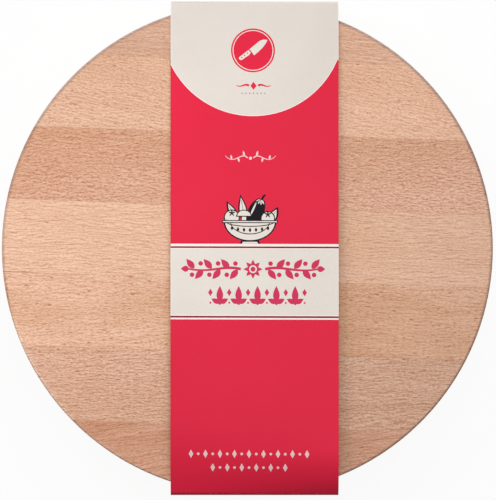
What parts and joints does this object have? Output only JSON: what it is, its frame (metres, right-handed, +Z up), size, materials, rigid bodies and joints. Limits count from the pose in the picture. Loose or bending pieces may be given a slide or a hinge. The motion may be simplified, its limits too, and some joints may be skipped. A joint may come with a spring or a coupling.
{
  "type": "round chopping block",
  "caption": "Round chopping block of glued solid beech staves, with a finger groove in each end and a printed card sleeve that slides off sideways.",
  "frame": {"origin": "on the table, under the middle of the round block", "axes": "+Z up out of the chopping face, the staves run along X, the sleeve goes round the block along Y"},
  "size_m": [0.34, 0.3416, 0.0471],
  "materials": {
    "beech": "satin",
    "wood_glue": "matte",
    "printed_card": "satin",
    "card_glue": "matte"
  },
  "bodies": {
    "block": {"stave_1": "beech", "stave_2": "beech", "stave_3": "beech", "stave_4": "beech", "stave_5": "beech", "stave_6": "beech", "stave_7": "beech", "glue_lines": "wood_glue"},
    "sleeve": {"card_sleeve": "printed_card", "sleeve_glue": "card_glue"}
  },
  "joints": [
    {"name": "sleeve_slide", "type": "slide", "parent": "block", "child": "sleeve", "axis": [1, 0, 0], "range_m": [-0.24, 0.24]}
  ]
}
